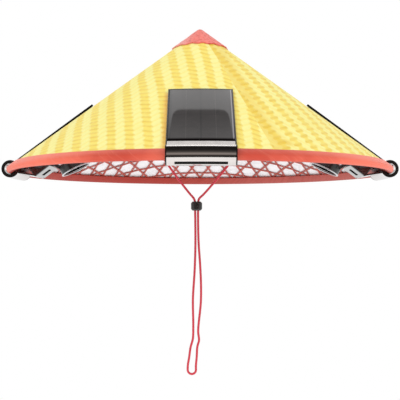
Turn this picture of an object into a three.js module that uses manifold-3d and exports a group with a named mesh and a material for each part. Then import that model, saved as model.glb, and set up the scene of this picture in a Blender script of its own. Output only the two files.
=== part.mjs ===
// Conical sun hat with three clip-on solar fans and a chin cord.
// Millimetres, +Z up, the front of the hat towards -Y. The origin is the place on the hat's
// axis where the inside of the cone sits on a head.

import * as THREE from 'three';
import { mergeVertices } from 'three/addons/utils/BufferGeometryUtils.js';
import Module from 'manifold-3d';

const wasm = await Module();
wasm.setup();

// Driving dimensions

const hat = {
  seatHeight: 100, // from the plane of the brim's lowest edge up to the seat on the head
  apexHeight: 161, // top of the straw cone above the same plane
  edgeRadius: 206, // where the straw ends inside the binding
  steepness: 0.7505, // rise of the cone for each millimetre inwards
  segments: 52, // facets around the hat, one to each hole of a row
};

// Layers of the wall, measured outwards from the straw's outer face
const layers = {
  cover: { outer: 0, inner: -1.2 },
  lining: { outer: -1.5, inner: -2.5 },
  lattice: { outer: -2.8, inner: -4.2 },
};

const binding = {
  outerLeaf: 6.5, // how far the red strip reaches up the outside of the brim
  innerLeaf: 8.6, // and up the inside
  thickness: 1.0,
  gap: 0.3,
  noseOffset: -2.3, // centre of the rounded nose, past the edge of the straw
};

const cap = { reach: 37, gap: 0.3, thickness: 1.3, waves: 14, waveDepth: 1.2 };

// The open weave is cut through where it shows, in two rows of six-sided holes above the binding
const weave = {
  holesAround: 52,
  firstRow: 17.9, // distance of the row's middle up the slope
  rowPitch: 18.8,
  strip: 2.6, // width of the strips left between holes
};

// The panel follows the curve of the straw; near the brim it steps over the binding
const panel = {
  width: 64,
  lowEnd: 16.4,
  frontHighEnd: 115.7,
  sideHighEnd: 109.7, // the side panels end a little lower than the front one
  under: 0.5,
  top: 2.7,
};
const step = { under: 1.8, start: 7.2, end: 9.4 };
const glass = { border: 1.2, thickness: 1.2, gap: 0.3 };

// The hook that bends round the brim, in an upright plane through the hat's axis
const hook = { radius: 206.6, height: 4.8, outer: 9.4, inner: 6, lipAngle: 203 };

const box = { width: 47.3, lowEnd: 15.6, highEnd: 36.3, bottom: -24.1, top: -7.5 };
const port = { length: 10.4, width: 12, depth: 1.5, middle: 26 };
const arm = { thickness: 1.8, lipAngle: 209 };

const fan = {
  radius: 138.2, // middle of the fan's mouth, out from the hat's axis
  height: 6.9, // and above the brim plane
  tilt: 26, // degrees
  ductOuter: 16.5,
  ductInner: 15.1,
  ductDepth: 9,
  ringOuter: 17.1,
  ringDepth: 1.2,
  bladeRadius: 14.3,
  blades: 5,
  bladeLow: 3.3, // middle of the blades above the mouth
  hubRadius: 4.5,
  hubLow: 1,
  hubHigh: 6,
  motorRadius: 6.4,
  motorLow: 6.4,
  motorHigh: 15,
  shaftRadius: 1,
  shaftLow: 3,
  collarOuter: 8.2,
  collarLow: 6.8,
  spokes: 3,
  spokeWidth: 2.2,
  neckWidth: 16,
  sides: 20, // facets around the duct
  smallSides: 12, // and around the motor and hub
};

const cordDiameter = 2.5;
const lock = { x: -3.8, z: -34.8, width: 12.4, depth: 9, height: 10, slotWidth: 8.2, slotDepth: 3.9 };
const button = { radius: 2.2, length: 2.6, gap: 0.3 }; // it sits behind the lock
const knot = { length: 6.5, radius: 2.9 };

// The chin cord hangs in the plane x-z, heights from the brim plane. From the left end down to
// the lock, round the hanging loop and up to the right end, points chosen by hand.
const cordRoute = [
  [-85.0, 83.0],
  [-71.0, 62.0],
  [-48.0, 29.0],
  [-24.0, -5.0],
  [-11.0, -21.5],
  [-6.8, -26.5],
  [-5.5, -30.5],
  [-5.4, -39.5],
  [-5.2, -51.3],
  [-5.1, -79.0],
  [-5.9, -105.5],
  [-7.8, -137.5],
  [-7.4, -166.0],
  [-7.9, -181.0],
  [-10.4, -190.3],
  [-11.9, -201.0],
  [-13.4, -210.5],
  [-13.2, -216.4],
  [-11.5, -218.6],
  [-8.9, -219.4],
  [-6.4, -218.6],
  [-4.7, -216.4],
  [-4.5, -210.5],
  [-3.6, -200.5],
  [-2.9, -189.5],
  [-1.1, -182.5],
  [-2.0, -172.5],
  [0.9, -141.0],
  [1.1, -121.0],
  [0.1, -98.9],
  [-1.5, -75.7],
  [-2.1, -51.3],
  [-2.1, -39.5],
  [-2.0, -30.5],
  [-0.8, -26.5],
  [4.0, -21.8],
  [20.0, -3.5],
  [45.0, 28.0],
  [70.5, 61.5],
  [85.0, 83.0],
];

const colours = {
  straw: new THREE.Color(0.95, 0.75, 0.22),
  white: new THREE.Color(0.85, 0.85, 0.84),
  red: new THREE.Color(0.62, 0.07, 0.06),
  black: new THREE.Color(0.015, 0.015, 0.017),
  cell: new THREE.Color(0.03, 0.03, 0.035),
  silver: new THREE.Color(0.7, 0.7, 0.72),
};

const degrees = Math.PI / 180;
const slope = Math.atan(hat.steepness);
const edgeHeight = hat.apexHeight - hat.edgeRadius * hat.steepness;

// A point of the upright section through the hat's axis: so far up the slope from the straw's
// edge, and so far outwards from the straw's outer face. It gives radius and height.
function onSlope(up, out) {
  return new THREE.Vector2(
    hat.edgeRadius - up * Math.cos(slope) + out * Math.sin(slope),
    edgeHeight + up * Math.sin(slope) + out * Math.cos(slope),
  );
}

// The same the other way: how far up the slope and how far out a radius and height lie
function slopePlace(radius, height) {
  const inwards = hat.edgeRadius - radius;
  const above = height - edgeHeight;
  return {
    up: inwards * Math.cos(slope) + above * Math.sin(slope),
    out: above * Math.cos(slope) - inwards * Math.sin(slope),
  };
}

// Height at which a layer of the cone meets the axis
function apexOf(out) {
  return hat.apexHeight + out / Math.cos(slope);
}

function solidOf(geometry) {
  const loose = geometry.index ? geometry.toNonIndexed() : geometry;
  const bare = new THREE.BufferGeometry();
  bare.setAttribute('position', loose.getAttribute('position'));
  const merged = mergeVertices(bare, 1e-4);
  const corners = merged.index.array;
  const kept = [];
  for (let i = 0; i < corners.length; i += 3) {
    const [a, b, c] = corners.slice(i, i + 3);
    if (a !== b && b !== c && c !== a) {
      kept.push(a, b, c);
    }
  }
  const vertProperties = merged.getAttribute('position').array;
  const triVerts = new Uint32Array(kept);
  return new wasm.Manifold(new wasm.Mesh({ numProp: 3, vertProperties, triVerts }));
}

function geometryOf(solid) {
  const mesh = solid.getMesh();
  const geometry = new THREE.BufferGeometry();
  geometry.setAttribute('position', new THREE.BufferAttribute(mesh.vertProperties, 3));
  geometry.setIndex(new THREE.BufferAttribute(mesh.triVerts, 1));
  const faceted = geometry.toNonIndexed();
  faceted.computeVertexNormals();
  return faceted;
}

// A section of radius and height turned about the upright axis
function turned(section, segments = hat.segments) {
  const points = section.map(([radius, height]) => new THREE.Vector2(radius, height));
  const geometry = new THREE.LatheGeometry(points, segments);
  geometry.rotateX(Math.PI / 2);
  return solidOf(geometry);
}

// An outline of radius and height made as wide as asked, half to each side
function across(outline, width) {
  const shape = outline instanceof THREE.Shape ? outline : new THREE.Shape(outline);
  const settings = { depth: width, bevelEnabled: false, curveSegments: 12 };
  const geometry = new THREE.ExtrudeGeometry(shape, settings);
  geometry.translate(0, 0, -width / 2);
  geometry.rotateX(Math.PI / 2);
  return solidOf(geometry);
}

// An outline of radius and height turned about the hat's axis and cut to the width asked, so
// that it follows the brim
function alongBrim(outline, width) {
  const points = outline instanceof THREE.Shape ? outline.getPoints(9) : outline;
  const corners = points.map((point) => new THREE.Vector2(point.x, point.y));
  if (THREE.ShapeUtils.area(corners) < 0) {
    corners.reverse();
  }
  const geometry = new THREE.LatheGeometry([...corners, corners[0]], hat.segments);
  geometry.rotateX(Math.PI / 2);
  const slab = new THREE.BoxGeometry(300, width, 600);
  slab.translate(150, 0, 0);
  return solidOf(geometry).intersect(solidOf(slab));
}

function piece(name, solid, colour, roughness, metalness = 0) {
  const material = new THREE.MeshStandardMaterial({ color: colour, roughness, metalness });
  const mesh = new THREE.Mesh(geometryOf(solid), material);
  mesh.name = name;
  return mesh;
}

// Hat body

function coneShell(layer, lowEdge) {
  const outside = onSlope(lowEdge, layer.outer);
  const inside = onSlope(lowEdge, layer.inner);
  return turned([
    [0, apexOf(layer.inner)],
    [inside.x, inside.y],
    [outside.x, outside.y],
    [0, apexOf(layer.outer)],
  ]);
}

// One row of six-sided cutters, standing square to the slope
function holeRow(up, shift) {
  const middle = onSlope(up, (layers.lattice.outer + layers.lattice.inner) / 2);
  const pitch = (2 * Math.PI * middle.x) / weave.holesAround;
  const flat = (pitch * Math.sqrt(3)) / 4 - weave.strip / 2;
  const corner = flat / Math.cos(30 * degrees);
  const length = 5;
  const cutter = new THREE.CylinderGeometry(corner, corner, length, 6);
  cutter.rotateY(30 * degrees);
  cutter.rotateX(Math.PI / 2);
  cutter.rotateY(slope);
  cutter.translate(middle.x, 0, middle.y);
  const cutters = [];
  for (let i = 0; i < weave.holesAround; i += 1) {
    const turn = ((i + shift) * 360 * degrees) / weave.holesAround;
    cutters.push(solidOf(cutter.clone().rotateZ(turn)));
  }
  return wasm.Manifold.union(cutters);
}

function openLattice() {
  const shell = coneShell(layers.lattice, 0);
  const low = holeRow(weave.firstRow, 0);
  const high = holeRow(weave.firstRow + weave.rowPitch, 0.5);
  return shell.subtract(low).subtract(high);
}

function rimBinding() {
  const outFace = binding.gap;
  const inFace = layers.lattice.inner - binding.gap;
  const noseMiddle = (outFace + inFace) / 2;
  const noseRadius = (outFace - inFace) / 2 + binding.thickness;
  const section = [];
  const add = (up, out) => section.push(onSlope(up, out).toArray());
  add(binding.outerLeaf, outFace);
  add(-binding.gap, outFace);
  add(-binding.gap, inFace);
  add(binding.innerLeaf, inFace);
  add(binding.innerLeaf, inFace - binding.thickness);
  const steps = 4;
  for (let i = 0; i <= steps; i += 1) {
    const angle = -90 * degrees - (i * Math.PI) / steps;
    const up = binding.noseOffset + noseRadius * Math.cos(angle);
    add(up, noseMiddle + noseRadius * Math.sin(angle));
  }
  add(binding.outerLeaf, outFace + binding.thickness);
  add(binding.outerLeaf, outFace);
  return turned(section);
}

// A small cone of cloth over the point of the hat, its lower edge gently waved
function apexCap() {
  const low = hat.edgeRadius / Math.cos(slope) - cap.reach;
  const layer = { outer: cap.gap + cap.thickness, inner: cap.gap };
  const outside = onSlope(low, layer.outer);
  const inside = onSlope(low, layer.inner);
  const section = [
    new THREE.Vector2(0, apexOf(layer.inner)),
    inside,
    outside,
    new THREE.Vector2(0, apexOf(layer.outer)),
  ];
  const geometry = new THREE.LatheGeometry(section, hat.segments);
  geometry.rotateX(Math.PI / 2);
  const places = geometry.getAttribute('position');
  for (let i = 0; i < places.count; i += 1) {
    const x = places.getX(i);
    const y = places.getY(i);
    const radius = Math.hypot(x, y);
    if (radius > 1) {
      const wave = cap.waveDepth * Math.sin(cap.waves * Math.atan2(y, x));
      const stretch = (radius + wave * Math.cos(slope)) / radius;
      const height = places.getZ(i) - wave * Math.sin(slope);
      places.setXYZ(i, x * stretch, y * stretch, height);
    }
  }
  return solidOf(geometry);
}

// Fan units, modelled on the +X side and turned to their place round the hat

// Where a line along the slope meets a circle about the hook's middle
function hookAngle(circle, out) {
  const middle = slopePlace(hook.radius, hook.height);
  const along = Math.sqrt(circle ** 2 - (out - middle.out) ** 2);
  const point = onSlope(middle.up + along, out);
  return Math.atan2(point.y - hook.height, point.x - hook.radius);
}

function onHook(circle, angle) {
  return new THREE.Vector2(
    hook.radius + circle * Math.cos(angle * degrees),
    hook.height + circle * Math.sin(angle * degrees),
  );
}

function clipFrame(highEnd) {
  const lip = (hook.lipAngle - 360) * degrees;
  const outline = new THREE.Shape();
  outline.moveTo(...onSlope(highEnd, panel.top).toArray());
  outline.absarc(hook.radius, hook.height, hook.outer, hookAngle(hook.outer, panel.top), lip, true);
  outline.absarc(hook.radius, hook.height, hook.inner, lip, hookAngle(hook.inner, step.under), false);
  outline.lineTo(...onSlope(step.start, step.under).toArray());
  outline.lineTo(...onSlope(step.end, panel.under).toArray());
  outline.lineTo(...onSlope(highEnd, panel.under).toArray());
  const bent = alongBrim(outline, panel.width);

  const depth = glass.thickness + glass.gap;
  const sink = [
    onSlope(panel.lowEnd, panel.top - depth),
    onSlope(panel.lowEnd, panel.top + 1),
    onSlope(highEnd - glass.border, panel.top + 1),
    onSlope(highEnd - glass.border, panel.top - depth),
  ];
  const recess = alongBrim(sink, panel.width - 2 * glass.border);

  const body = across(
    [
      onSlope(box.lowEnd, box.bottom),
      onSlope(box.lowEnd, box.top),
      onSlope(box.highEnd, box.top),
      onSlope(box.highEnd, box.bottom),
    ],
    box.width,
  );

  const lipOut = onHook(hook.outer - 0.3, arm.lipAngle);
  const lipIn = onHook(hook.outer - 0.3 - arm.thickness, arm.lipAngle - 6);
  const armEndIn = onSlope(box.lowEnd + 1, box.bottom + arm.thickness + 1);
  const armEndOut = onSlope(box.lowEnd + 1, box.bottom);
  const joint = alongBrim([lipOut, lipIn, armEndIn, armEndOut], box.width);

  const window = across(
    [
      onSlope(port.middle - port.length / 2, box.bottom - 1),
      onSlope(port.middle - port.length / 2, box.bottom + port.depth),
      onSlope(port.middle + port.length / 2, box.bottom + port.depth),
      onSlope(port.middle + port.length / 2, box.bottom - 1),
    ],
    port.width,
  );
  return bent.subtract(recess).add(joint).add(body).subtract(window);
}

function solarGlass(highEnd) {
  const side = glass.border + glass.gap;
  return alongBrim(
    [
      onSlope(panel.lowEnd + glass.gap, panel.top - glass.thickness),
      onSlope(panel.lowEnd + glass.gap, panel.top),
      onSlope(highEnd - side, panel.top),
      onSlope(highEnd - side, panel.top - glass.thickness),
    ],
    panel.width - 2 * side,
  );
}

// A place given from the fan's own middle, out along its mouth and up its shaft
function atFan(out, up) {
  const tilt = fan.tilt * degrees;
  return new THREE.Vector2(
    fan.radius + out * Math.cos(tilt) + up * Math.sin(tilt),
    fan.height - out * Math.sin(tilt) + up * Math.cos(tilt),
  );
}

function tiltedToFan(geometry) {
  return geometry.rotateY(fan.tilt * degrees).translate(fan.radius, 0, fan.height);
}

function ringGeometry(inner, outer, low, high, segments) {
  const section = [
    [inner, low],
    [outer, low],
    [outer, high],
    [inner, high],
    [inner, low],
  ].map(([radius, height]) => new THREE.Vector2(radius, height));
  const geometry = new THREE.LatheGeometry(section, segments);
  return geometry.rotateX(Math.PI / 2);
}

// The round duct, three spokes with a collar for the motor, and the neck to the box
function fanHousing() {
  const duct = ringGeometry(fan.ductInner, fan.ductOuter, 0, fan.ductDepth, fan.sides);
  const { motorRadius, collarOuter, collarLow, ductDepth, smallSides } = fan;
  const collar = ringGeometry(motorRadius + 0.35, collarOuter, collarLow, ductDepth, smallSides);
  let housing = solidOf(tiltedToFan(duct)).add(solidOf(tiltedToFan(collar)));
  const spokeStart = fan.collarOuter - 0.6;
  const spokeLength = fan.ductInner + 0.6 - spokeStart;
  for (let i = 0; i < fan.spokes; i += 1) {
    const spoke = new THREE.BoxGeometry(spokeLength, fan.spokeWidth, fan.ductDepth - fan.collarLow);
    spoke.translate(spokeStart + spokeLength / 2, 0, (fan.ductDepth + fan.collarLow) / 2);
    spoke.rotateZ((i * 360 * degrees) / fan.spokes);
    housing = housing.add(solidOf(tiltedToFan(spoke)));
  }
  const seat = box.highEnd + glass.gap;
  const neckLine = [
    onSlope(seat, box.bottom + 1.5),
    onSlope(seat, box.bottom + 14),
    atFan(fan.ductInner - 2, fan.ductDepth),
    atFan(fan.ductInner - 2, 2.5),
  ];
  const bore = new THREE.CylinderGeometry(fan.ductInner, fan.ductInner, 40, fan.sides);
  bore.rotateX(Math.PI / 2);
  const neck = across(neckLine, fan.neckWidth).subtract(solidOf(tiltedToFan(bore)));
  return housing.add(neck);
}

function motorBody() {
  const { motorRadius, motorLow, motorHigh, shaftRadius, shaftLow } = fan;
  return turned(
    [
      [0, shaftLow],
      [shaftRadius, shaftLow],
      [shaftRadius, motorLow],
      [motorRadius - 0.6, motorLow],
      [motorRadius, motorLow + 0.6],
      [motorRadius, motorHigh - 1],
      [motorRadius - 1, motorHigh],
      [0, motorHigh],
    ],
    fan.smallSides,
  );
}

// A flat strip twisted from steep at the hub to flatter at the tip
function blade() {
  const root = fan.hubRadius - 1;
  const length = fan.bladeRadius - root;
  const strip = new THREE.BoxGeometry(length, 1, 1, 2, 1, 1);
  strip.translate(root + length / 2, 0, 0);
  const places = strip.getAttribute('position');
  for (let i = 0; i < places.count; i += 1) {
    const out = places.getX(i);
    const along = (out - root) / length;
    const chord = 5.5 + 3.5 * along;
    const pitch = (48 - 22 * along) * degrees;
    const y = places.getY(i) * chord;
    const z = places.getZ(i) * 0.9;
    places.setY(i, y * Math.cos(pitch) - z * Math.sin(pitch));
    places.setZ(i, fan.bladeLow + y * Math.sin(pitch) + z * Math.cos(pitch));
  }
  return strip;
}

function rotorBody() {
  const bore = fan.shaftRadius + 0.3;
  let rotor = turned(
    [
      [0, fan.hubLow],
      [fan.hubRadius - 1, fan.hubLow],
      [fan.hubRadius, fan.hubLow + 1],
      [fan.hubRadius, fan.hubHigh],
      [bore, fan.hubHigh],
      [bore, fan.shaftLow - 0.4],
      [0, fan.shaftLow - 0.4],
    ],
    fan.smallSides,
  );
  for (let i = 0; i < fan.blades; i += 1) {
    rotor = rotor.add(solidOf(blade().rotateZ((i * 360 * degrees) / fan.blades)));
  }
  return rotor;
}

function fanUnit(side, azimuth, highEnd) {
  const unit = new THREE.Group();
  unit.rotation.z = azimuth * degrees;
  unit.add(piece(`${side}_clip_frame`, clipFrame(highEnd), colours.black, 0.25));
  unit.add(piece(`${side}_solar_panel`, solarGlass(highEnd), colours.cell, 0.1));
  unit.add(piece(`${side}_fan_housing`, fanHousing(), colours.black, 0.3));

  const head = new THREE.Group();
  head.position.set(fan.radius, 0, fan.height);
  head.rotation.y = fan.tilt * degrees;
  const ringHigh = -glass.gap;
  const ringLow = ringHigh - fan.ringDepth;
  const ring = solidOf(ringGeometry(fan.ductInner, fan.ringOuter, ringLow, ringHigh, fan.sides));
  head.add(piece(`${side}_fan_ring`, ring, colours.silver, 0.25, 1));
  head.add(piece(`${side}_motor`, motorBody(), colours.silver, 0.3, 1));
  head.add(piece(`${side}_fan_rotor`, rotorBody(), colours.black, 0.35));
  unit.add(head);
  return unit;
}

// Chin cord

function cordTube() {
  const points = cordRoute.map(([x, z]) => new THREE.Vector3(x, 0, z));
  const path = new THREE.CatmullRomCurve3(points, false, 'centripetal');
  const section = new THREE.Shape();
  const sides = 8;
  for (let i = 0; i < sides; i += 1) {
    const angle = (i * 2 * Math.PI) / sides;
    const x = (cordDiameter / 2) * Math.cos(angle);
    const y = (cordDiameter / 2) * Math.sin(angle);
    if (i === 0) {
      section.moveTo(x, y);
    } else {
      section.lineTo(x, y);
    }
  }
  const settings = { steps: 80, extrudePath: path, bevelEnabled: false };
  return solidOf(new THREE.ExtrudeGeometry(section, settings));
}

function lockBody() {
  const barrel = turned(
    [
      [0, -lock.height / 2],
      [lock.width / 2 - 1.6, -lock.height / 2],
      [lock.width / 2, -lock.height / 2 + 1.8],
      [lock.width / 2, lock.height / 2 - 1.8],
      [lock.width / 2 - 1.6, lock.height / 2],
      [0, lock.height / 2],
    ],
    16,
  ).scale([1, lock.depth / lock.width, 1]);
  const slot = new THREE.BoxGeometry(lock.slotWidth, lock.slotDepth, lock.height + 4);
  return barrel.subtract(solidOf(slot));
}

// The push button of the lock stands out of its right side
function lockButton() {
  return solidOf(new THREE.CylinderGeometry(button.radius, button.radius, button.length, 16));
}

// A knot where an end of the cord is tied under the open weave
function knotBody(side) {
  const half = knot.length / 2;
  const barrel = new THREE.LatheGeometry(
    [
      new THREE.Vector2(0, -half),
      new THREE.Vector2(knot.radius * 0.62, -half),
      new THREE.Vector2(knot.radius, -half * 0.45),
      new THREE.Vector2(knot.radius, half * 0.45),
      new THREE.Vector2(knot.radius * 0.62, half),
      new THREE.Vector2(0, half),
    ],
    12,
  );
  const ends = side < 0 ? [cordRoute[1], cordRoute[0]] : [cordRoute.at(-2), cordRoute.at(-1)];
  const from = new THREE.Vector3(ends[0][0], 0, ends[0][1]);
  const to = new THREE.Vector3(ends[1][0], 0, ends[1][1]);
  const way = to.clone().sub(from).normalize();
  const turn = new THREE.Quaternion().setFromUnitVectors(new THREE.Vector3(0, 1, 0), way);
  barrel.applyQuaternion(turn);
  const middle = to.clone().addScaledVector(way, half + 0.3);
  barrel.translate(middle.x, middle.y, middle.z);
  return solidOf(barrel);
}

const group = new THREE.Group();
const body = new THREE.Group();
body.position.z = -hat.seatHeight;
group.add(body);

body.add(piece('cover', coneShell(layers.cover, 0), colours.straw, 0.6));
body.add(piece('lining', coneShell(layers.lining, 0), colours.white, 0.7));
body.add(piece('lattice', openLattice(), colours.red, 0.45));
body.add(piece('rim_binding', rimBinding(), colours.red, 0.4));
body.add(piece('apex_cap', apexCap(), colours.red, 0.7));

body.add(fanUnit('front', -89.7, panel.frontHighEnd));
body.add(fanUnit('left', 178.2, panel.sideHighEnd));
body.add(fanUnit('right', 1.5, panel.sideHighEnd));

body.add(piece('cord', cordTube(), colours.red, 0.7));
const lockPlace = new THREE.Group();
lockPlace.position.set(lock.x, 0, lock.z);
lockPlace.add(piece('cord_lock', lockBody(), colours.black, 0.3));
const lockButtonPiece = piece('lock_button', lockButton(), colours.black, 0.3);
lockButtonPiece.position.y = lock.depth / 2 + button.gap + button.length / 2;
lockPlace.add(lockButtonPiece);
body.add(lockPlace);
body.add(piece('cord_knot_left', knotBody(-1), colours.red, 0.7));
body.add(piece('cord_knot_right', knotBody(1), colours.red, 0.7));

export default group;
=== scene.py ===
# Conical straw sun hat with three clip-on solar fans and a red chin cord.
# Metres, +Z up, front towards -Y; the origin is where the hat sits on a head.

import math

import bmesh
import bpy
from mathutils import Matrix, Vector, noise


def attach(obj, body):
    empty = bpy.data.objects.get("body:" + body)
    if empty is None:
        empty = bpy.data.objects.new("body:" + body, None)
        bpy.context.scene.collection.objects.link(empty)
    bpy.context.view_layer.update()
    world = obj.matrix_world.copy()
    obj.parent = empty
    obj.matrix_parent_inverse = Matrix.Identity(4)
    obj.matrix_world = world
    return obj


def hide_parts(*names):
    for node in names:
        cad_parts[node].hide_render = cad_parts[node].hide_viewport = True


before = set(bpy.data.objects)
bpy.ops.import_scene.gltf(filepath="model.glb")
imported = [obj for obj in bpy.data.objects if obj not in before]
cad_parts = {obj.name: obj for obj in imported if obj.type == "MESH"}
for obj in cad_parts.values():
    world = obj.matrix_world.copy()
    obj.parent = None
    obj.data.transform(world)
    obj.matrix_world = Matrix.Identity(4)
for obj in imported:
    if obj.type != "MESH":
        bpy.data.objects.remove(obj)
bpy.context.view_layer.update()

mm = 0.001
fullTurn = 2 * math.pi

# The cone, in millimetres from the plane of the brim
hat = {
    "brim": -100.0,
    "apex": 161.0,
    "edgeRadius": 206.0,
    "steepness": 0.7505,
    "steps": 256,
}
slope = math.atan(hat["steepness"])
slant = hat["edgeRadius"] / math.cos(slope)
edgeHeight = hat["apex"] - hat["edgeRadius"] * hat["steepness"]


def fromBrim(radius, height):
    return radius * mm, (height + hat["brim"]) * mm


def onSlope(up, out):
    # So far up the slope from the straw's edge and so far outwards from it: radius, height
    radius = hat["edgeRadius"] - up * math.cos(slope) + out * math.sin(slope)
    return fromBrim(radius, edgeHeight + up * math.sin(slope) + out * math.cos(slope))


def offSlope(radius, height):
    # The way back, in millimetres: how far up the slope and how far outwards a point lies
    inwards, above = hat["edgeRadius"] - radius, height - edgeHeight
    up = inwards * math.cos(slope) + above * math.sin(slope)
    return up, above * math.cos(slope) - inwards * math.sin(slope)


# Camera

cameraSettings = {
    "place": (0.0, -1.029, -0.1635),
    "pitch": 1.97,  # degrees above the horizon
    "lens": 83.8,
    "sensor": 36.0,
    "sight": (0.01, 100.0),
}


def addCamera():
    bpy.ops.object.camera_add(
        location=cameraSettings["place"],
        rotation=(math.radians(90 + cameraSettings["pitch"]), 0, 0),
    )
    camera = bpy.context.object
    camera.name = "camera"
    camera.data.lens = cameraSettings["lens"]
    camera.data.sensor_width = cameraSettings["sensor"]
    camera.data.clip_start, camera.data.clip_end = cameraSettings["sight"]
    bpy.context.scene.camera = camera


addCamera()
print("stage: camera")


# Modelling helpers


def deselectAll():
    if bpy.context.mode != "OBJECT":
        bpy.ops.object.mode_set(mode="OBJECT")
    bpy.ops.object.select_all(action="DESELECT")


def makeActive(obj):
    deselectAll()
    obj.select_set(True)
    bpy.context.view_layer.objects.active = obj


def editMode(obj, kind="FACE", action="SELECT"):
    makeActive(obj)
    bpy.ops.object.mode_set(mode="EDIT")
    bpy.ops.mesh.select_mode(type=kind)
    bpy.ops.mesh.select_all(action=action)


def closeMesh(obj):
    # Merges what lies together and turns every face outwards
    editMode(obj)
    bpy.ops.mesh.remove_doubles(threshold=1e-5)
    bpy.ops.mesh.normals_make_consistent(inside=False)
    bpy.ops.object.mode_set(mode="OBJECT")


def applyModifier(obj, kind, **settings):
    makeActive(obj)
    modifier = obj.modifiers.new(kind.lower(), kind)
    for name, value in settings.items():
        setattr(modifier, name, value)
    bpy.ops.object.modifier_apply(modifier=modifier.name)


def thicken(obj, thickness, offset=-1.0):
    applyModifier(obj, "SOLIDIFY", thickness=thickness * mm, offset=offset)


def roundEdges(obj, width, segments=2, angle=35):
    applyModifier(
        obj,
        "BEVEL",
        width=width * mm,
        segments=segments,
        limit_method="ANGLE",
        angle_limit=math.radians(angle),
        use_clamp_overlap=True,
    )
    return obj


def smoothed(obj, angle=40):
    makeActive(obj)
    bpy.ops.object.shade_smooth_by_angle(angle=math.radians(angle))
    return obj


def hardShaded(obj, angle=40):
    # Flat faces stay flat beside their rounded edges
    applyModifier(smoothed(obj, angle), "WEIGHTED_NORMAL", keep_sharp=True)
    return obj


def inMetres(section):
    return [(radius * mm, height * mm) for radius, height in section]


def cornersOf(inner, outer, low, high):
    return inMetres([(inner, low), (outer, low), (outer, high), (inner, high)])


def alongSlope(low, high, bottom, top):
    # Four corners of a bar that lies on the slope
    return [onSlope(low, bottom), onSlope(low, top), onSlope(high, top), onSlope(high, bottom)]


def outline(name, points, kind="NGON", closed=True):
    # A ring primitive pulled onto an outline of radius and height, in the plane y = 0
    deselectAll()
    bpy.ops.mesh.primitive_circle_add(vertices=len(points), radius=0.01, fill_type=kind)
    obj = bpy.context.object
    obj.name = name
    for vertex, (radius, height) in zip(obj.data.vertices, points):
        vertex.co = (radius, 0, height)
    if not closed:
        editMode(obj, "EDGE", "DESELECT")
        ends = {0, len(points) - 1}
        for edge in bmesh.from_edit_mesh(obj.data).edges:
            edge.select_set({v.index for v in edge.verts} == ends)
        bpy.ops.mesh.delete(type="EDGE")
        bpy.ops.object.mode_set(mode="OBJECT")
    return obj


def spin(steps, angle):
    bpy.ops.mesh.spin(steps=steps, angle=angle, center=(0, 0, 0), axis=(0, 0, 1))


def turned(name, section, steps, closed=True):
    # An outline turned all the way round the upright axis
    obj = outline(name, section, "NOTHING", closed)
    editMode(obj, "EDGE")
    spin(steps, fullTurn)
    closeMesh(obj)
    return obj


def cutBeside(away, **settings):
    # Cuts the piece in edit mode on both sides of its middle
    for side in (-1, 1):
        bpy.ops.mesh.select_all(action="SELECT")
        place = (0, side * away * mm, 0)
        bpy.ops.mesh.bisect(plane_co=place, plane_no=(0, side, 0), **settings)


def swept(name, section, width, steps=24, spread=20):
    # An outline that follows the brim, cut to a width square to its middle
    obj = outline(name, section)
    obj.rotation_euler.z = math.radians(-spread)
    makeActive(obj)
    bpy.ops.object.transform_apply(location=False, rotation=True, scale=False)
    editMode(obj)
    spin(steps, -math.radians(2 * spread))
    cutBeside(width / 2, use_fill=True, clear_outer=True)
    closeMesh(obj)
    return obj


def slab(name, section, width):
    # An outline made as thick as asked, half to each side
    obj = outline(name, section)
    for vertex in obj.data.vertices:
        vertex.co.y = -width / 2 * mm
    editMode(obj)
    bpy.ops.mesh.extrude_region_move(TRANSFORM_OT_translate={"value": (0, width * mm, 0)})
    closeMesh(obj)
    return obj


def carve(obj, cutter):
    applyModifier(obj, "BOOLEAN", operation="DIFFERENCE", object=cutter, solver="EXACT")
    bpy.data.objects.remove(cutter)


def joined(name, *parts):
    deselectAll()
    for part in parts:
        part.select_set(True)
    bpy.context.view_layer.objects.active = parts[0]
    bpy.ops.object.join()
    parts[0].name = name
    return parts[0]


def moved(obj, matrix):
    obj.data.transform(matrix)
    obj.data.update()
    return obj


def shift(x, y, z):
    return Matrix.Translation(Vector((x, y, z)) * mm)


def copied(obj, name, matrix):
    twin = obj.copy()
    twin.data = obj.data.copy()
    twin.name = name
    bpy.context.collection.objects.link(twin)
    return moved(twin, matrix)


def finished(obj, name, materials, slotName, node, body="root"):
    obj.name = name
    if materials:
        obj.data.materials.clear()
        for material in materials:
            obj.data.materials.append(material)
    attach(obj, body)
    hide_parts(node)
    return obj


# Long pieces of one section: rings of points joined in turn


def wrapRings(build, uvLayer, rings, uvPlace):
    # A closed skin over the rings; uvPlace gives a corner's UV place by its ring and side
    sides = len(rings[0])
    for ring, (before, after) in enumerate(zip(rings, rings[1:])):
        for k in range(sides):
            following = (k + 1) % sides
            face = build.faces.new((before[k], before[following], after[following], after[k]))
            face.smooth = True
            corners = ((ring, k), (ring, k + 1), (ring + 1, k + 1), (ring + 1, k))
            for loop, corner in zip(face.loops, corners):
                loop[uvLayer].uv = uvPlace(*corner)
    build.faces.new(list(reversed(rings[0])))
    build.faces.new(rings[-1])


def inScene(name, build):
    mesh = bpy.data.meshes.new(name)
    build.to_mesh(mesh)
    build.free()
    obj = bpy.data.objects.new(name, mesh)
    bpy.context.collection.objects.link(obj)
    return obj


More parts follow.
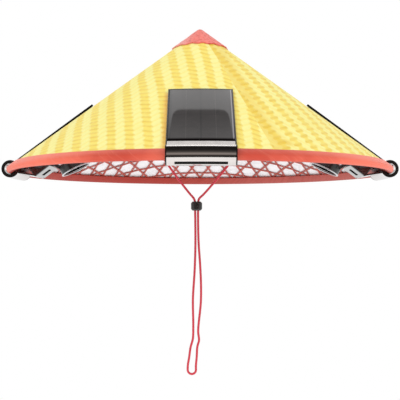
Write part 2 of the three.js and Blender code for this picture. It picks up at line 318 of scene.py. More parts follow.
def tube(name, route, radius, sides):
    # A closed round tube; its UV map runs round it and along it, in metres
    build = bmesh.new()
    uvLayer = build.loops.layers.uv.new("along")
    ways = []
    for index in range(len(route)):
        ahead = route[min(index + 1, len(route) - 1)] - route[max(index - 1, 0)]
        ways.append(ahead.normalized())
    across = ways[0].orthogonal().normalized()
    rings, lengths, gone = [], [], 0.0
    for index, (place, way) in enumerate(zip(route, ways)):
        if index:
            across = ways[index - 1].rotation_difference(way) @ across
            gone += (place - route[index - 1]).length
        other = way.cross(across)
        lengths.append(gone)
        ring = []
        for k in range(sides):
            turn = fullTurn * k / sides
            beside = place + across * (radius * math.cos(turn))
            ring.append(build.verts.new(beside + other * (radius * math.sin(turn))))
        rings.append(ring)
    wide = fullTurn * radius / sides
    wrapRings(build, uvLayer, rings, lambda ring, side: (side * wide, lengths[ring]))
    return inScene(name, build), gone


# Cord: its route first, the same points as in the CAD source

cordSettings = {
    "diameter": 2.5,
    "sides": 16,
    "perSpan": 12,  # points of the finished route for each span of the rough one
    "route": [
        (-85.0, 83.0), (-71.0, 62.0), (-48.0, 29.0), (-24.0, -5.0), (-11.0, -21.5),
        (-6.8, -26.5), (-5.5, -30.5), (-5.4, -39.5), (-5.2, -51.3), (-5.1, -79.0),
        (-5.9, -105.5), (-7.8, -137.5), (-7.4, -166.0), (-7.9, -181.0), (-10.4, -190.3),
        (-11.9, -201.0), (-13.4, -210.5), (-13.2, -216.4), (-11.5, -218.6), (-8.9, -219.4),
        (-6.4, -218.6), (-4.7, -216.4), (-4.5, -210.5), (-3.6, -200.5), (-2.9, -189.5),
        (-1.1, -182.5), (-2.0, -172.5), (0.9, -141.0), (1.1, -121.0), (0.1, -98.9),
        (-1.5, -75.7), (-2.1, -51.3), (-2.1, -39.5), (-2.0, -30.5), (-0.8, -26.5),
        (4.0, -21.8), (20.0, -3.5), (45.0, 28.0), (70.5, 61.5), (85.0, 83.0),
    ],
    "braid": 2.4,  # millimetres from one crossing of its strands to the next
    "strands": 4,
    "fixed": {"Specular IOR Level": 0.25, "Sheen Weight": 0.4, "Sheen Roughness": 0.45},
    "colours": {
        "deep": (0.46, 0.026, 0.045),
        "red": (0.74, 0.055, 0.085),
        "fuzz": (0.80, 0.13, 0.15),
    },
    "noises": {"fuzz": (2200.0,)},
    "masks": {"red": (0.2, 0.9), "fuzz": (0.5, 0.75, 0.4)},
}  # fmt: skip


def smoothRoute(points, perSpan):
    # A centripetal spline through the points, as the CAD source draws it
    padded = [2 * points[0] - points[1], *points, 2 * points[-1] - points[-2]]
    route = []
    for index in range(len(points) - 1):
        corners = padded[index : index + 4]
        times = [0.0]
        for start, end in zip(corners, corners[1:]):
            times.append(times[-1] + math.sqrt((end - start).length))
        for step in range(perSpan):
            t = times[1] + (times[2] - times[1]) * step / perSpan
            level = corners
            for spans in (((0, 1), (1, 2), (2, 3)), ((0, 2), (1, 3)), ((1, 2),)):
                level = [
                    level[i] + (level[i + 1] - level[i]) * (t - times[a]) / (times[b] - times[a])
                    for i, (a, b) in enumerate(spans)
                ]
            route.append(level[0])
    return [*route, points[-1]]


def addCord():
    places = []
    for x, z in cordSettings["route"]:
        across, height = fromBrim(x, z)
        places.append(Vector((across, 0, height)))
    route = smoothRoute(places, cordSettings["perSpan"])
    radius = cordSettings["diameter"] / 2 * mm
    cord, length = tube("chin_cord", route, radius, cordSettings["sides"])
    return cord, route, length


cord, cordPath, cordLength = addCord()
print(f"stage: cord route, {cordLength:.3f} m")


# Node sheets: shader maths as Python expressions


class Value:
    def __init__(self, sheet, socket):
        self.sheet, self.socket = sheet, socket

    def __add__(self, other):
        return self.sheet.maths("ADD", self, other)

    def __mul__(self, other):
        return self.sheet.maths("MULTIPLY", self, other)

    __radd__, __rmul__ = __add__, __mul__

    def __sub__(self, other):
        return self.sheet.maths("SUBTRACT", self, other)

    def __rsub__(self, other):
        return self.sheet.maths("SUBTRACT", other, self)

    def __truediv__(self, other):
        return self.sheet.maths("DIVIDE", self, other)

    def __rtruediv__(self, other):
        return self.sheet.maths("DIVIDE", other, self)

    def __pow__(self, other):
        return self.sheet.maths("POWER", self, other)

    def __neg__(self):
        return self * -1

    def __abs__(self):
        return self.sheet.maths("ABSOLUTE", self)


class Sheet:
    def __init__(self, tree, settings=None):
        self.tree, self.settings = tree, settings or {}

    def feed(self, socket, value):
        if isinstance(value, Value):
            self.tree.links.new(value.socket, socket)
        else:
            socket.default_value = value

    def node(self, kind, settings=None, sockets=None, output=0):
        made = self.tree.nodes.new("ShaderNode" + kind)
        for name, value in (settings or {}).items():
            if name == "stops":
                ramp = made.color_ramp
                while len(ramp.elements) < len(value):
                    ramp.elements.new(1.0)
                for element, (position, colour) in zip(ramp.elements, value):
                    element.position = position
                    element.color = (*colour, 1)
            else:
                setattr(made, name, value)
        for name, value in (sockets or {}).items():
            self.feed(made.inputs[name], value)
        return Value(self, made.outputs[output])

    def maths(self, operation, first, second=0.0):
        return self.node("Math", {"operation": operation}, {0: first, 1: second})

    def larger(self, first, second):
        return self.maths("MAXIMUM", first, second)

    def smooth(self, value, start, full):
        # Falls instead of rising where full is less than start
        settings = {"interpolation_type": "SMOOTHSTEP"}
        sockets = {"Value": value, "From Min": start, "From Max": full}
        return self.node("MapRange", settings, sockets)

    def mix(self, factor, first, second):
        # A colour is a link, three numbers, or a name in the settings
        ends = [self.settings["colours"][c] if isinstance(c, str) else c for c in (first, second)]
        ends = [c if isinstance(c, Value) else (*c, 1) for c in ends]
        return self.node("Mix", {"data_type": "RGBA"}, {0: factor, 6: ends[0], 7: ends[1]}, 2)

    def apart(self, vector):
        split = self.tree.nodes.new("ShaderNodeSeparateXYZ")
        self.feed(split.inputs[0], vector)
        return [Value(self, split.outputs[i]) for i in range(3)]

    def together(self, x, y, z=0.0):
        return self.node("CombineXYZ", None, {0: x, 1: y, 2: z})


class Finish(Sheet):
    # A material by its settings. "fixed": the shader's own sockets. "colours": by name.
    # "noises": scale, or how far it is squeezed along x, y and z, then detail and roughness.
    # "masks": where each starts, where it is full, and its strength if that isn't 1.
    def __init__(self, name, settings, fixed=None):
        self.material = bpy.data.materials.new(name)
        self.material.use_nodes = True
        super().__init__(self.material.node_tree, settings)
        self.shader = self.tree.nodes["Principled BSDF"]
        for socket, value in {**settings.get("fixed", {}), **(fixed or {})}.items():
            self.shader.inputs[socket].default_value = value

    def place(self):
        return self.node("TexCoord", output="Object")

    def map(self, name):
        return self.node("UVMap", {"uv_map": name})

    def noise(self, name, vector):
        numbers = self.settings["noises"][name]
        scale, detail, roughness = (*numbers, *(2.0, 0.5)[len(numbers) - 1 :])
        if isinstance(scale, tuple):
            vector = self.node("Mapping", None, {"Vector": vector, "Scale": scale})
            scale = 1.0
        sockets = {"Vector": vector, "Scale": scale, "Detail": detail, "Roughness": roughness}
        return self.node("TexNoise", None, sockets)

    def mask(self, name, value):
        start, full, *strength = self.settings["masks"][name]
        made = self.smooth(value, start, full)
        return made * strength[0] if strength else made

    def lay(self, colour, name, value):
        # The colour of that name over another, where the mask of that name says
        return self.mix(self.mask(name, value), colour, name)

    def put(self, socket, value):
        self.feed(self.shader.inputs[socket], value)

    def done(self, colour, roughness, height, depth, strength):
        # The relief's depth is in millimetres
        sockets = {"Height": height, "Distance": depth * mm, "Strength": strength}
        self.put("Base Color", colour)
        self.put("Roughness", roughness)
        self.put("Normal", self.node("Bump", None, sockets))
        return self.material


# Straw cover: two pieces of woven straw, joined along one seam in front and one behind

coverSettings = {
    "thickness": 1.2,
    "rows": 44,
    "frontSeam": 19.0,  # degrees to the right of the front
    "backSeam": 185.0,
    "flatPoint": 300.0,  # where the hat's point lies on the UV map, both ways
    "pieces": {
        # Turns for each millimetre on the flat straw, x to the right and y up from the point:
        # from one column to the next with the bend of the columns (for xx, xy and yy), from one
        # dash to the next in a column, and the fainter ribs of the pale columns
        "left": {
            "columns": (0.0549, 0.0079, 0.873),
            "bend": (1.82e-5, -2.14e-5, 0.91e-5),
            "dashes": (-0.047, -0.114, 0.49),
            "ribs": (0.0605, -0.0918, 0.2),
            "swell": 0.1,  # how far the dashes widen the columns
            "dashSpan": (-0.05, 0.95),
            "fray": 1.0,
        },
        "right": {
            "columns": (0.0450, 0.0204, 0.716),
            "bend": (0.39e-5, -4.16e-5, -1.70e-5),
            "dashes": (0.083, -0.0775, 0.731),
            "ribs": (-0.052, -0.095, 0.1),
            "swell": 0.45,
            "dashSpan": (-0.4, 0.95),
            "fray": 1.5,
        },
    },
    "wander": {"columns": 0.16, "dashes": 0.5, "ribs": 0.4},
    # Spots of the right-hand piece, by middle and half size: a mend on the flat straw, and a
    # painted shadow by the upper end of the right-hand panel, seen from above
    "mend": ((76.0, -222.0), (17.0, 9.0)),
    "stain": ((113.0, -6.0), (5.0, 16.0)),
    "fixed": {"Specular IOR Level": 0.35},
    "colours": {
        "pale": (0.95, 0.88, 0.335),
        "straw": (0.945, 0.755, 0.155),
        "gold": (0.85, 0.575, 0.06),
        "shade": (0.60, 0.42, 0.10),
        "stain": (0.90, 0.26, 0.12),
        "warm": (0.95, 0.46, 0.10),
    },
    "noises": {
        "drift": (15.0, 1.0),
        "frayed": (190.0, 2.0, 0.6),
        "age": (95.0,),
        "broad": (17.0,),
        "wander": (60.0,),
        "fibre": ((330.0, 2600.0, 1.0), 3.0, 0.6),
    },
    "masks": {
        "band": (-0.25, 0.55),
        "reach": (-0.62, -0.05),
        "tip": (0.25, 0.6, 0.12),
        "tipAge": (0.45, 0.62),
        "rib": (0.0, 1.0, 0.3),
        "fibre": (0.52, 0.8, 0.2),
        "broad": (0.50, 0.72, 0.25),
        "warmFrom": (-37.5, -32.5, 0.6),
        "warmTo": (-29.0, -31.0),
        "warmBelow": (-136.0, -146.0),
        "doubled": (32.0, 13.0, 0.62),
        "mend": (1.5, 0.7, 0.9),
        "stain": (1.2, 0.5, 0.6),
    },
}


def ovalSpot(x, y, spot):
    # 1 on the edge of an oval spot and 0 in its middle
    across, along = ((way - middle) / half for way, middle, half in zip((x, y), *spot))
    return (across * across + along * along) ** 0.5


def strawFinish(side):
    cover = coverSettings
    weave = cover["pieces"][side]
    look = Finish(f"straw_weave_{side}", cover)
    flat = look.map("flat")
    x, y = (way * 1000 - cover["flatPoint"] for way in look.apart(flat)[:2])
    drift = look.noise("drift", flat) - 0.5
    frayed = (look.noise("frayed", flat) - 0.5) * weave["fray"]

    def wave(name, bend=(0.0, 0.0, 0.0)):
        acrossX, acrossY, start = weave[name]
        turns = x * acrossX + y * acrossY - start + drift * cover["wander"][name]
        turns = turns + x * x * bend[0] + x * y * bend[1] + y * y * bend[2]
        return look.maths("COSINE", turns * fullTurn)

    column, rung, rib = wave("columns", weave["bend"]), wave("dashes"), wave("ribs")

    # The gold core of a column runs through; thin darker dashes reach out past it on both sides
    band = look.mask("band", column + rung * weave["swell"] + frayed * 0.8)
    reach = look.mask("reach", column + frayed * 0.7)
    dash = look.smooth(rung + frayed * 0.9, *weave["dashSpan"])
    dash = dash * (reach * 0.45 + band * 0.55)
    pale = 1 - band
    age = look.noise("age", flat)
    fibre = look.noise("fibre", flat)

    colour = look.mix(band * (0.62 + age * 0.6), "pale", "straw")
    colour = look.mix(dash * (0.05 + age), colour, "gold")
    colour = look.mix(look.mask("tip", dash * pale) * look.mask("tipAge", age), colour, "shade")
    colour = look.mix(pale * look.mask("rib", rib), colour, "straw")
    colour = look.mix(look.mask("fibre", fibre), colour, "gold")
    colour = look.mix(look.mask("broad", look.noise("broad", flat)), colour, "straw")
    if side == "left":
        # Warm light that comes back off the front panel's flank
        glow = look.mask("warmFrom", x) * look.mask("warmTo", x) * look.mask("warmBelow", y)
        colour = look.mix(glow, colour, "warm")
    else:
        # Doubled straw beside the seam, and the mend near the edge
        seam = math.radians(cover["frontSeam"]) * math.cos(slope)
        away = x * math.cos(seam) + y * math.sin(seam)
        wander = look.noise("wander", flat)
        doubled = look.mask("doubled", away + wander * 10)
        mend = look.mask("mend", ovalSpot(x, y, cover["mend"]) + wander * 0.9)
        richer = look.larger(doubled, mend) * (0.35 + dash * 0.3 + wander)
        colour = look.mix(richer, colour, "gold")
        # Painted shadow: an orange patch by the upper end of the right-hand panel
        placeX, placeY = (way * 1000 for way in look.apart(look.place())[:2])
        colour = look.lay(colour, "stain", ovalSpot(placeX, placeY, cover["stain"]))
    height = dash * 0.8 + pale * rib * 0.25 + fibre * 0.25 + band * 0.2
    return look.done(colour, 0.62 - dash * 0.2 + fibre * 0.1, height, 0.8, 0.6)


def unroll(obj, materials):
    # The cone laid flat: its UV map is the flat straw in metres
    cover = coverSettings
    uvLayer = obj.data.uv_layers.new(name="flat")
    for material in materials:
        obj.data.materials.append(material)
    point = cover["flatPoint"] * mm
    for face in obj.data.polygons:
        middle = math.degrees(math.atan2(face.center.x, -face.center.y))
        if middle < cover["backSeam"] - 360:
            middle += 360
        face.material_index = 1 if middle > cover["frontSeam"] else 0
        for loop in face.loop_indices:
            place = obj.data.vertices[obj.data.loops[loop].vertex_index].co
            angle = math.degrees(math.atan2(place.x, -place.y))
            angle += 360 * round((middle - angle) / 360)
            reach = math.hypot(place.x, place.y) / math.cos(slope)
            turn = math.radians(angle) * math.cos(slope)
            uvLayer.data[loop].uv = (point + reach * math.sin(turn), point - reach * math.cos(turn))


def coneSheet(name, out, rows):
    # An open profile down the whole slope, turned round the axis
    line = [onSlope(slant * (1 - i / rows), out) for i in range(rows + 1)]
    line[0] = (0.0, line[0][1] + line[0][0] * hat["steepness"])
    return turned(name, line, hat["steps"], closed=False)


def addCover():
    cover = coneSheet("straw_cover", 0.0, coverSettings["rows"])
    unroll(cover, [strawFinish("left"), strawFinish("right")])
    thicken(cover, coverSettings["thickness"])
    finished(smoothed(cover, 50), "straw_cover", [], "straw_weave", "cover")


addCover()
print("stage: straw cover")


# Lining and the open weave of red bamboo inside

liningSettings = {
    "outer": -1.5,
    "thickness": 1.0,
    "rows": 12,
    "fixed": {"Specular IOR Level": 0.4},
    "colours": {
        "white": (0.93, 0.915, 0.93),
        "crease": (0.62, 0.58, 0.62),
        "blotch": (0.93, 0.86, 0.84),
    },
    "noises": {"ripple": ((34.0, 34.0, 70.0), 3.0, 0.55), "blotch": (18.0,)},
    "masks": {"crease": (0.035, 0.0, 0.32), "blotch": (0.5, 0.8, 0.25)},
}


def liningFinish():
    look = Finish("white_lining", liningSettings)
    place = look.place()
    ripple = look.noise("ripple", place)
    # Painted shade: grey along the lining's creases
    colour = look.lay("white", "crease", abs(ripple - 0.5))
    colour = look.lay(colour, "blotch", look.noise("blotch", place))
    return look.done(colour, 0.55, ripple, 1.0, 0.4)


def layStretched(radius):
    # The area and flat size of a sheet cut as one sector of a disc to go over the cone; neither is
    # used
    area = math.pi * radius**2 * math.cos(slope)
    flat = (2 * radius, 2 * radius)


def addLining():
    lining = coneSheet("lining", liningSettings["outer"], liningSettings["rows"])
    thicken(lining, liningSettings["thickness"])
    finished(smoothed(lining, 50), "white_lining", [liningFinish()], "white_lining", "lining")
    layStretched(slant * mm)


addLining()
print("stage: lining")

latticeSettings = {
    "lines": 19.24,  # millimetres between strips that run the same way
    "ways": 5,
    "back": 90.0,  # the middle of the flat weave, degrees round from +X
    "middle": -3.45,
    "weave": 0.3,
    "width": 2.7,
    "thickness": 0.75,
    "chamfer": 0.55,
    "reach": 256.4,
    "margin": 3.0,
    "spansPerCell": 4,
    "fixed": {"Specular IOR Level": 0.5, "Coat Weight": 0.25, "Coat Roughness": 0.3},
    "colours": {
        "deep": (0.42, 0.055, 0.045),
        "red": (0.62, 0.13, 0.085),
        "brown": (0.35, 0.085, 0.06),
    },
    "noises": {"grain": ((25.0, 2200.0, 1.0), 3.0, 0.6), "broad": (55.0,)},
    "masks": {"red": (0.35, 0.7), "brown": (0.45, 0.75, 0.6)},
}


def bambooFinish():
    look = Finish("red_bamboo", latticeSettings)
    grain = look.noise("grain", look.map("strip"))
    colour = look.lay("deep", "red", grain)
    colour = look.lay(colour, "brown", look.noise("broad", look.place()))
    return look.done(colour, 0.38 + grain * 0.2, grain, 0.2, 0.5)


def addStrip(build, uvLayer, way, line, number):
    # One strip: straight on the flat weave, over and under its neighbours in turn
    weave = latticeSettings
    cell = weave["lines"] / math.sqrt(3)
    away = (line + 0.5) * weave["lines"]
    wide, thick = weave["width"] / 2, weave["thickness"] / 2
    narrow = wide * weave["chamfer"]
    section = (
        (-wide, 0.0), (-narrow, thick), (narrow, thick),
        (wide, 0.0), (narrow, -thick), (-narrow, -thick),
    )  # fmt: skip
    half = math.sqrt(weave["reach"] ** 2 - away**2)
    spans = max(4, round(2 * half / (cell / weave["spansPerCell"])))
    # The flat weave is a hexagon of 60 degree wedges, closed to a cone of fewer
    wedge = 360 / weave["ways"]
    places, rings = [], []
    for step in range(spans + 1):
        t = -half + 2 * half * step / spans
        lift = weave["weave"] * math.cos(math.pi * (t / cell - 0.5 - line))
        ring = []
        for aside, above in section:
            angle = math.atan2(t, away + aside)
            spread = math.hypot(t, away + aside)
            azimuth = math.radians(weave["back"]) + math.radians(wedge * way) + angle * wedge / 60
            radius, height = onSlope(slant - spread, weave["middle"] + lift + above)
            corner = (radius * math.cos(azimuth), radius * math.sin(azimuth), height)
            ring.append(build.verts.new(corner))
        places.append(t)
        rings.append(ring)

    def uvPlace(ring, side):
        # Each strip shows its own part of the grain
        return (places[ring] * mm + number * 0.37, side * 1.1 * mm + number * 0.011)

    wrapRings(build, uvLayer, rings, uvPlace)


def addLattice():
    weave = latticeSettings
    build = bmesh.new()
    uvLayer = build.loops.layers.uv.new("strip")
    number = 0
    for way in range(weave["ways"]):
        line = 0
        while (line + 0.5) * weave["lines"] <= weave["reach"] - weave["margin"]:
            number += 1
            addStrip(build, uvLayer, way, line, number)
            line += 1
    bmesh.ops.recalc_face_normals(build, faces=build.faces)
    lattice = inScene("lattice", build)
    finished(lattice, "bamboo_lattice", [bambooFinish()], "red_bamboo", "lattice")
    print("stage: lattice,", number, "strips")


addLattice()

# Binding round the rim

bindingSettings = {
    "outerLeaf": 6.5,
    "innerLeaf": 8.6,
    "thickness": 1.0,
    "gap": 0.3,
    "wall": 4.2,  # the cover, lining and lattice that it holds
    "noseOffset": -2.3,
    "noseSteps": 10,
    "steps": 208,
    "fixed": {"Coat Weight": 0.08, "Coat Roughness": 0.3, "Specular IOR Level": 0.25},
    "colours": {
        "fresh": (0.60, 0.070, 0.040),
        "faded": (0.92, 0.18, 0.11),
        "fibre": (0.98, 0.30, 0.20),
        "deep": (0.40, 0.032, 0.018),
        "lit": (0.46, 0.085, 0.065),
        "grained": (0.30, 0.02, 0.012),
    },
    "noises": {"grain": ((0.35, 0.12, 1.0), 3.0, 0.6), "broad": ((0.021, 0.02, 1.0),)},
    "masks": {
        # Painted shade on the leaf inside the hat
        "inner": (-3.6, -5.2),  # millimetres out from the straw
        "front": (-0.2, -0.14),
        "dull": (0.40, 0.62, 0.5),
        "fibre": (0.5, 0.75, 0.2),
        "lit": (-0.06, 0.10),
        "grained": (0.4, 0.7, 0.3),
    },
}


def bindingFinish():
    look = Finish("red_binding", bindingSettings)
    x, y, z = look.apart(look.place())
    around = look.maths("ARCTAN2", y, x) * hat["edgeRadius"]
    rise = z * 1000
    grain = look.noise("grain", look.together(around + rise * 1.4, rise * 0.4))
    broad = look.noise("broad", look.together(around, rise))
    inwards = hat["edgeRadius"] - (x * x + y * y) ** 0.5 * 1000
    above = rise - (hat["brim"] + edgeHeight)
    inner = look.mask("inner", above * math.cos(slope) - inwards * math.sin(slope))
    # The strip in front has faded less evenly than the rest
    front = look.mask("front", y)
    colour = look.mix(look.mask("dull", broad) * (1 - front) + front, "fresh", "faded")
    colour = look.lay(colour, "fibre", grain)
    # Painted shade: the leaf inside the hat is a deeper red, and behind it is brighter to the right
    deep = look.lay(look.lay("deep", "lit", x), "grained", grain)
    colour = look.mix(inner, colour, deep)
    return look.done(colour, 0.36 + grain * 0.22, grain * 0.6 + broad * 0.5, 0.35, 0.6)


def addBinding():
    leaf = bindingSettings
    outFace, edge = leaf["gap"], -leaf["gap"]
    inFace = edge - leaf["wall"]
    middle = (outFace + inFace) / 2
    nose = (outFace - inFace) / 2 + leaf["thickness"]
    section = [(leaf["outerLeaf"], outFace), (edge, outFace), (edge, inFace)]
    section += [(leaf["innerLeaf"], inFace), (leaf["innerLeaf"], inFace - leaf["thickness"])]
    for i in range(leaf["noseSteps"] + 1):
        angle = -math.pi / 2 - i * math.pi / leaf["noseSteps"]
        up = leaf["noseOffset"] + nose * math.cos(angle)
        section.append((up, middle + nose * math.sin(angle)))
    section.append((leaf["outerLeaf"], outFace + leaf["thickness"]))
    binding = turned("rim_binding", [onSlope(up, out) for up, out in section], leaf["steps"])
    smoothed(roundEdges(binding, 0.3), 35)
    finished(binding, "rim_binding_strip", [bindingFinish()], "red_binding", "rim_binding")


addBinding()
print("stage: rim binding")

# Cloth cap over the point

capSettings = {
    "reach": 37.0,
    "gap": 0.3,
    "thickness": 1.3,
    "waves": 14,
    "waveDepth": 1.0,
    "shortFront": 2.8,
    "tip": 5.0,
    "tipRows": 5,
    "rough": 0.3,
    "lumps": 260,
    "rows": 26,
    "steps": 168,
    "fixed": {"Specular IOR Level": 0.2, "Sheen Weight": 0.35, "Sheen Roughness": 0.5},
    "colours": {
        "red": (0.90, 0.145, 0.11),
        "light": (0.95, 0.24, 0.19),
        "speck": (0.70, 0.065, 0.05),
        "thread": (0.98, 0.46, 0.42),
        "faded": (0.93, 0.40, 0.37),
    },
    "noises": {
        "thread": ((0.8, 1.5, 1.0), 2.0, 0.7),
        "speck": (340.0, 2.0, 0.75),
        "broad": (60.0,),
    },
    "masks": {"speck": (0.52, 0.64), "thread": (0.52, 0.75, 0.5), "faded": (6.0, 20.0, 0.6)},
}


def capFinish():
    look = Finish("red_cloth", capSettings)
    place = look.place()
    x, y, z = look.apart(place)
    cloth = look.together(look.maths("ARCTAN2", y, x) * 20, z * 1000)
    threads = look.noise("thread", cloth)
    specks = look.mask("speck", look.noise("speck", place))
    colour = look.mix(look.noise("broad", place), "red", "light")
    colour = look.mix(specks * 0.85, colour, "speck")
    colour = look.lay(colour, "thread", threads)
    # The left side is paler pink
    colour = look.lay(colour, "faded", -x * 1000 + (threads - 0.5) * 12)
    return look.done(colour, 0.75 + threads * 0.15, threads + specks * 0.6, 0.7, 0.8)


def addCap():
    cap = capSettings
    outer = cap["gap"] + cap["thickness"]
    rows, tipRows = cap["rows"], cap["tipRows"]
    tip = cap["tip"] * mm
    apexHeight = (hat["apex"] + outer / math.cos(slope) + hat["brim"]) * mm
    ballHeight = apexHeight - tip / math.cos(slope)
    touch = tip * math.sin(slope)  # where the cone leaves the rounded tip
    line = []
    for i in range(tipRows):
        turn = slope * i / tipRows
        line.append((tip * math.sin(turn), ballHeight + tip * math.cos(turn)))
    lowRadius, lowHeight = onSlope(slant - cap["reach"], outer)
    for i in range(rows + 1):
        radius = touch + (lowRadius - touch) * i / rows
        line.append((radius, lowHeight + (lowRadius - radius) * hat["steepness"]))
    piece = turned("apex_cap", line, cap["steps"], closed=False)
    for vertex in piece.data.vertices:
        x, y, _ = vertex.co
        radius = math.hypot(x, y)
        if radius < 1 * mm:
            continue
        share = radius / lowRadius
        azimuth = math.atan2(y, x)
        pull = cap["waveDepth"] * math.sin(cap["waves"] * azimuth)
        pull -= cap["shortFront"] * max(0.0, -math.sin(azimuth)) ** 2
        pull *= share**3 * mm
        lump = noise.noise(vertex.co * cap["lumps"]) * cap["rough"] * mm * min(1.0, share * 4)
        outwards = pull * math.cos(slope) + lump * math.sin(slope)
        vertex.co.x += x / radius * outwards
        vertex.co.y += y / radius * outwards
        vertex.co.z += lump * math.cos(slope) - pull * math.sin(slope)
    thicken(piece, cap["thickness"])
    finished(smoothed(piece, 50), "apex_cloth_cap", [capFinish()], "red_cloth", "apex_cap")
    layStretched(cap["reach"] * mm)


addCap()
print("stage: cloth cap")

# Clip-on units: each is modelled once on the +X side and turned round the brim

# Degrees round from +X, and where the panel's upper end lies up the slope
units = {"front": (-89.7, 115.7), "left": (178.2, 109.7), "right": (1.5, 109.7)}

clipSettings = {
    "width": 64.0,
    "lowEnd": 16.4,
    "under": 0.5,
    "top": 2.7,
    "stepUnder": 1.8,  # over the binding the sheet steps outwards
    "stepStart": 7.2,
    "stepEnd": 9.4,
    "hookRadius": 206.6,
    "hookHeight": 4.8,
    "hookOuter": 9.4,
    "hookInner": 6.0,
    "lip": -157.0,
    "padStart": -43.0,
    "padEnd": -66.0,
    "skinEnds": (-150.0, 140.0),
    "sideEdge": 1.3,
    "armLip": 209.0,
    "armInset": 0.3,
    "armSlant": 6.0,
    "armThickness": 1.8,
    "boxWidth": 47.3,
    "boxLow": 15.6,
    "boxHigh": 36.3,
    "boxBottom": -24.1,
    "boxTop": -7.5,
    "portMiddle": 26.0,
    "portLength": 10.4,
    "portWidth": 12.0,
    "portDepth": 1.5,
}
glassSettings = {
    "border": 1.2,
    "thickness": 1.2,
    "gap": 0.3,
    "mapPoint": 100.0,  # where the middle of the straw's edge lies on the UV map, both ways
    "fingers": 1.6,  # millimetres from one silver finger to the next
    "firstRow": 18.0,
    "rows": 23.3,
    "bus": 14.0,
    "dark": (2.6, 7.0),  # the resin thins away to a dark line where the hook starts
    "fixed": {"Specular IOR Level": 0.0, "Coat Weight": 1.0, "Coat Roughness": 0.02},
    "colours": {
        "cell": (0.020, 0.017, 0.017),
        "light": (0.036, 0.030, 0.029),
        "finger": (0.08, 0.07, 0.066),
        "bus": (0.14, 0.125, 0.12),
        "gap": (0.006, 0.005, 0.005),
        "glint": (0.24, 0.225, 0.23),
        "dark": (0.003, 0.002, 0.002),
    },
    "noises": {"grain": (160.0,), "ripple": (24.0, 1.0)},
    "masks": {
        "finger": (0.10, 0.03, 0.15),
        "bus": (0.5, 0.25, 0.12),
        "middle": (0.75, 0.35, 0.7),
        "edge": (27.6, 28.1, 0.7),
        "row": (0.485, 0.495, 0.7),
        "glint": (28.7, 29.3, 0.9),
    },
}
mirrorSettings = {
    "fixed": {"Metallic": 1.0, "Coat Weight": 0.5, "Coat Roughness": 0.04},
    "colours": {"bright": (0.80, 0.75, 0.72), "smear": (0.72, 0.68, 0.66)},
    "noises": {"dust": (900.0,), "smear": (42.0,), "ripple": (60.0, 1.0)},
    "masks": {"dust": (0.66, 0.8)},
}
plasticSettings = {
    # Roughness, grain, specular level and coat
    "kinds": {
        "black_plastic": (0.12, 0.2, 0.3, 0.15),
        "box_plastic": (0.1, 0.2, 0.9, 1.0),
        "pad_rubber": (0.6, 0.8, 0.1, 0.0),
        "fan_plastic": (0.22, 0.5, 0.5, 0.3),
        "lock_plastic": (0.3, 0.8, 0.5, 0.3),
    },
    "fixed": {"Coat Roughness": 0.08},
    "colours": {"black": (0.008, 0.007, 0.0065), "scuff": (0.035, 0.031, 0.029)},
    "noises": {"broad": (70.0, 3.0), "fine": (1500.0,), "scuff": ((90.0, 900.0, 300.0), 3.0)},
    "masks": {"scuff": (0.6, 0.75)},
}
metalSettings = {
    "kinds": {
        "silver_trim": ((0.80, 0.80, 0.82), 0.12),
        "motor_steel": ((0.66, 0.66, 0.68), 0.24),
    },
    "shade": 0.82,
    "fixed": {"Metallic": 1.0},
    "noises": {"brushed": ((300.0, 300.0, 2200.0), 3.0, 0.6)},
}


def mirrorFinish():
    # Bright moulded skin of the hook: it shows the studio's bands
    look = Finish("black_mirror_skin", mirrorSettings)
    place = look.place()
    dust = look.mask("dust", look.noise("dust", place))
    smear = look.noise("smear", place)
    colour = look.mix(smear, "bright", "smear")
    rough = 0.05 + smear * 0.05 + dust * 0.12
    return look.done(colour, rough, look.noise("ripple", place), 0.05, 0.4)


def plasticFinish(name):
    shine, texture, gloss, coat = plasticSettings["kinds"][name]
    look = Finish(name, plasticSettings, {"Specular IOR Level": gloss, "Coat Weight": coat})
    place = look.place()
    broad, fine = look.noise("broad", place), look.noise("fine", place)
    scuff = look.mask("scuff", look.noise("scuff", place))
    colour = look.mix(scuff * 0.5, "black", "scuff")
    rough = shine + broad * 0.08 + scuff * 0.12
    return look.done(colour, rough, fine * texture + broad * 0.3, 0.12, 0.35)


def metalFinish(name):
    colour, roughness = metalSettings["kinds"][name]
    look = Finish(name, metalSettings)
    brushed = look.noise("brushed", look.place())
    colour = look.mix(brushed, colour, tuple(c * metalSettings["shade"] for c in colour))
    return look.done(colour, roughness + brushed * 0.12, brushed, 0.05, 0.3)


def cellFinish():
    # Two columns of dark cells under clear resin, with fine silver fingers
    glass = glassSettings
    look = Finish("solar_cells", glass)
    point = glass["mapPoint"] * mm
    across, up = ((way - point) * 1000 for way in look.apart(look.map("panel"))[:2])

    def fromMiddle(turns):
        return abs(look.maths("FRACT", turns) - 0.5)

    beside = abs(across)
    row = look.mask("row", fromMiddle((up - glass["firstRow"]) / glass["rows"]))
    gaps = look.larger(look.mask("middle", beside), row)
    gaps = look.larger(gaps, look.mask("edge", beside))
    grain = look.noise("grain", look.place())
    colour = look.mix(grain, "cell", "light")
    colour = look.lay(colour, "finger", fromMiddle(up / glass["fingers"]))
    colour = look.lay(colour, "bus", abs(beside - glass["bus"]))
    colour = look.lay(look.mix(gaps, colour, "gap"), "glint", across)
    full = look.smooth(up, *(clipSettings["lowEnd"] + reach for reach in glass["dark"]))
    look.put("Coat Weight", full)
    ripple = look.noise("ripple", look.place())
    return look.done(look.mix(full, "dark", colour), 0.12 + grain * 0.08, ripple, 0.02, 0.2)


def onHook(circle, angle):
    clip, turn = clipSettings, math.radians(angle)
    radius = clip["hookRadius"] + circle * math.cos(turn)
    return fromBrim(radius, clip["hookHeight"] + circle * math.sin(turn))


def hookArc(circle, start, end, steps):
    return [onHook(circle, start + (end - start) * i / steps) for i in range(steps + 1)]


